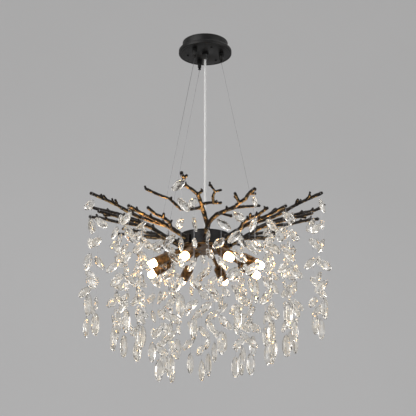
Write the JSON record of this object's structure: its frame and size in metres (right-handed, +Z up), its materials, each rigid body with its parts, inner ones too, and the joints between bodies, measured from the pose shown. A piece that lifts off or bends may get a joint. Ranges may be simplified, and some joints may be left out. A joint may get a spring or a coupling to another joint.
{
  "type": "branch chandelier",
  "caption": "Ceiling chandelier: a round canopy, thin wires and a clear cord carry a drum hub with branch castings, tilted capsule lamps and hanging strands of faceted crystals.",
  "frame": {"origin": "middle of the two ceiling screws, in the plane where the canopy meets the ceiling", "axes": "+Z up into the ceiling, +Y along the line of the ceiling screws, +X to the right with -Y towards the viewer of the picture"},
  "size_m": [0.5765, 0.5636, 0.8291],
  "materials": {
    "zinc_steel": "zinc-plated sheet steel",
    "black_enamel": "semi-gloss black enamel",
    "black_plastic": "black moulded plastic",
    "white_plastic": "white moulded plastic",
    "steel": "bright drawn steel",
    "cord_sheath": "clear flexible sheath over pale wires",
    "dark_bronze": "nearly black bronze patina, rubbed gold on edges and undersides",
    "dark_gold": "dark antique gold lacquer",
    "white_ceramic": "glazed white ceramic",
    "bulb_glass": "frosted, lit warm white",
    "crystal": "clear polished facets"
  },
  "bodies": {
    "canopy": {"ceiling_bracket": "zinc_steel", "canopy_base": "black_enamel", "canopy_plate": "black_enamel", "canopy_screws": "black_enamel", "grip_barrels": "black_enamel", "canopy_gland": "black_plastic", "terminal_block": "white_plastic"},
    "grip_plunger_1": {"grip_plunger_1": "black_enamel"},
    "grip_plunger_2": {"grip_plunger_2": "black_enamel"},
    "grip_plunger_3": {"grip_plunger_3": "black_enamel"},
    "light": {"wire_anchors": "steel", "suspension_wires": "steel", "power_cord": "cord_sheath", "hub_drum": "black_enamel", "hub_top_plate": "black_enamel", "hub_bottom_plate": "dark_gold", "hub_posts": "zinc_steel", "hub_screws": "zinc_steel", "hub_gland": "black_plastic", "branch_bolts": "zinc_steel", "branch_1": "dark_bronze", "branch_2": "dark_bronze", "branch_3": "dark_bronze", "branch_4": "dark_bronze", "branch_5": "dark_bronze", "branch_6": "dark_bronze", "branch_7": "dark_bronze", "branch_8": "dark_bronze", "lamp_arms": "dark_gold", "lamp_cups": "dark_gold", "lamp_sockets": "white_ceramic"},
    "bulb_1": {"bulb_1": "bulb_glass"},
    "bulb_2": {"bulb_2": "bulb_glass"},
    "bulb_3": {"bulb_3": "bulb_glass"},
    "bulb_4": {"bulb_4": "bulb_glass"},
    "bulb_5": {"bulb_5": "bulb_glass"},
    "bulb_6": {"bulb_6": "bulb_glass"},
    "bulb_7": {"bulb_7": "bulb_glass"},
    "bulb_8": {"bulb_8": "bulb_glass"},
    "inner_strands_1": {"inner_strands_1": "crystal"},
    "inner_strands_2": {"inner_strands_2": "crystal"},
    "inner_strands_3": {"inner_strands_3": "crystal"},
    "inner_strands_4": {"inner_strands_4": "crystal"},
    "main_strands_1": {"main_strands_1": "crystal"},
    "main_strands_2": {"main_strands_2": "crystal"},
    "main_strands_3": {"main_strands_3": "crystal"},
    "main_strands_4": {"main_strands_4": "crystal"},
    "main_strands_5": {"main_strands_5": "crystal"},
    "main_strands_6": {"main_strands_6": "crystal"},
    "main_strands_7": {"main_strands_7": "crystal"},
    "main_strands_8": {"main_strands_8": "crystal"},
    "side_strands_1": {"side_strands_1": "crystal"},
    "side_strands_2": {"side_strands_2": "crystal"},
    "side_strands_3": {"side_strands_3": "crystal"},
    "side_strands_4": {"side_strands_4": "crystal"},
    "side_strands_5": {"side_strands_5": "crystal"},
    "side_strands_6": {"side_strands_6": "crystal"},
    "side_strands_7": {"side_strands_7": "crystal"},
    "side_strands_8": {"side_strands_8": "crystal"}
  },
  "joints": [
    {"name": "grip_release_1", "type": "slide", "parent": "canopy", "child": "grip_plunger_1", "axis": [0, 0, 1], "range_m": [0, 0.0025], "stiffness_N_per_m": 300, "springref_m": -0.003},
    {"name": "grip_release_2", "type": "slide", "parent": "canopy", "child": "grip_plunger_2", "axis": [0, 0, 1], "range_m": [0, 0.0025], "stiffness_N_per_m": 300, "springref_m": -0.003},
    {"name": "grip_release_3", "type": "slide", "parent": "canopy", "child": "grip_plunger_3", "axis": [0, 0, 1], "range_m": [0, 0.0025], "stiffness_N_per_m": 300, "springref_m": -0.003},
    {"name": "height_adjust", "type": "slide", "parent": "canopy", "child": "light", "axis": [0, 0, 1], "range_m": [0, 0.2], "deforming": ["suspension_wires", "power_cord"]},
    {"name": "bulb_pull_1", "type": "slide", "parent": "light", "child": "bulb_1", "axis": [0.3662, -0.8034, -0.4695], "range_m": [0, 0.015]},
    {"name": "bulb_pull_2", "type": "slide", "parent": "light", "child": "bulb_2", "axis": [0.827, -0.3092, -0.4695], "range_m": [0, 0.015]},
    {"name": "bulb_pull_3", "type": "slide", "parent": "light", "child": "bulb_3", "axis": [0.8034, 0.3662, -0.4695], "range_m": [0, 0.015]},
    {"name": "bulb_pull_4", "type": "slide", "parent": "light", "child": "bulb_4", "axis": [0.3092, 0.827, -0.4695], "range_m": [0, 0.015]},
    {"name": "bulb_pull_5", "type": "slide", "parent": "light", "child": "bulb_5", "axis": [-0.3662, 0.8034, -0.4695], "range_m": [0, 0.015]},
    {"name": "bulb_pull_6", "type": "slide", "parent": "light", "child": "bulb_6", "axis": [-0.827, 0.3092, -0.4695], "range_m": [0, 0.015]},
    {"name": "bulb_pull_7", "type": "slide", "parent": "light", "child": "bulb_7", "axis": [-0.8034, -0.3662, -0.4695], "range_m": [0, 0.015]},
    {"name": "bulb_pull_8", "type": "slide", "parent": "light", "child": "bulb_8", "axis": [-0.3092, -0.827, -0.4695], "range_m": [0, 0.015]},
    {"name": "sway_inner_strands_1", "type": "hinge", "parent": "light", "child": "inner_strands_1", "pos_m": [0.04356, -0.08295, -0.49934], "axis": [0.8868, 0.4618, 0.0198], "range_deg": [-2.5, 2.5]},
    {"name": "sway_inner_strands_2", "type": "hinge", "parent": "light", "child": "inner_strands_2", "pos_m": [0.08697, 0.03786, -0.49523], "axis": [-0.4004, 0.9163, -0.0118], "range_deg": [-2.5, 2.5]},
    {"name": "sway_inner_strands_3", "type": "hinge", "parent": "light", "child": "inner_strands_3", "pos_m": [-0.04195, 0.08517, -0.49791], "axis": [-0.8999, -0.4322, 0.0584], "range_deg": [-2.5, 2.5]},
    {"name": "sway_inner_strands_4", "type": "hinge", "parent": "light", "child": "inner_strands_4", "pos_m": [-0.0886, -0.03745, -0.49724], "axis": [0.3979, -0.9147, -0.0705], "range_deg": [-2.5, 2.5]},
    {"name": "sway_main_strands_1", "type": "hinge", "parent": "light", "child": "main_strands_1", "pos_m": [0.06912, -0.20816, -0.47598], "axis": [0.5068, -0.8516, 0.134], "range_deg": [-2.5, 2.5]},
    {"name": "sway_main_strands_2", "type": "hinge", "parent": "light", "child": "main_strands_2", "pos_m": [0.20322, -0.10046, -0.45315], "axis": [0.8744, -0.3259, 0.3596], "range_deg": [-2.5, 2.5]},
    {"name": "sway_main_strands_3", "type": "hinge", "parent": "light", "child": "main_strands_3", "pos_m": [0.211, 0.03981, -0.45351], "axis": [0.9445, 0.2465, 0.2173], "range_deg": [-2.5, 2.5]},
    {"name": "sway_main_strands_4", "type": "hinge", "parent": "light", "child": "main_strands_4", "pos_m": [0.12104, 0.17731, -0.45643], "axis": [0.4945, 0.8441, 0.2072], "range_deg": [-2.5, 2.5]},
    {"name": "sway_main_strands_5", "type": "hinge", "parent": "light", "child": "main_strands_5", "pos_m": [-0.06912, 0.20816, -0.47598], "axis": [-0.5068, 0.8516, 0.134], "range_deg": [-2.5, 2.5]},
    {"name": "sway_main_strands_6", "type": "hinge", "parent": "light", "child": "main_strands_6", "pos_m": [-0.13311, 0.16844, -0.45643], "axis": [-0.5522, 0.8076, 0.2072], "range_deg": [-2.5, 2.5]},
    {"name": "sway_main_strands_7", "type": "hinge", "parent": "light", "child": "main_strands_7", "pos_m": [-0.21326, 0.02499, -0.45351], "axis": [-0.9594, 0.18, 0.2173], "range_deg": [-2.5, 2.5]},
    {"name": "sway_main_strands_8", "type": "hinge", "parent": "light", "child": "main_strands_8", "pos_m": [-0.19563, -0.11436, -0.45785], "axis": [-0.8579, -0.3902, 0.3344], "range_deg": [-2.5, 2.5]},
    {"name": "sway_side_strands_1", "type": "hinge", "parent": "light", "child": "side_strands_1", "pos_m": [-0.03555, -0.22185, -0.43777], "axis": [-0.351, -0.9018, 0.252], "range_deg": [-2.5, 2.5]},
    {"name": "sway_side_strands_2", "type": "hinge", "parent": "light", "child": "side_strands_2", "pos_m": [0.15942, -0.1407, -0.47523], "axis": [0.6234, -0.7696, 0.1385], "range_deg": [-2.5, 2.5]},
    {"name": "sway_side_strands_3", "type": "hinge", "parent": "light", "child": "side_strands_3", "pos_m": [0.21352, -0.03621, -0.46089], "axis": [0.9491, -0.2564, 0.1827], "range_deg": [-2.5, 2.5]},
    {"name": "sway_side_strands_4", "type": "hinge", "parent": "light", "child": "side_strands_4", "pos_m": [0.17655, 0.12536, -0.46341], "axis": [0.8539, 0.4906, 0.1738], "range_deg": [-2.5, 2.5]},
    {"name": "sway_side_strands_5", "type": "hinge", "parent": "light", "child": "side_strands_5", "pos_m": [0.03555, 0.22185, -0.43777], "axis": [0.351, 0.9018, 0.252], "range_deg": [-2.5, 2.5]},
    {"name": "sway_side_strands_6", "type": "hinge", "parent": "light", "child": "side_strands_6", "pos_m": [-0.18487, 0.11274, -0.46341], "axis": [-0.886, 0.4298, 0.1738], "range_deg": [-2.5, 2.5]},
    {"name": "sway_side_strands_7", "type": "hinge", "parent": "light", "child": "side_strands_7", "pos_m": [-0.21047, -0.05101, -0.46089], "axis": [-0.9289, -0.322, 0.1827], "range_deg": [-2.5, 2.5]},
    {"name": "sway_side_strands_8", "type": "hinge", "parent": "light", "child": "side_strands_8", "pos_m": [-0.14919, -0.15144, -0.47811], "axis": [-0.569, -0.8124, 0.1275], "range_deg": [-2.5, 2.5]}
  ]
}
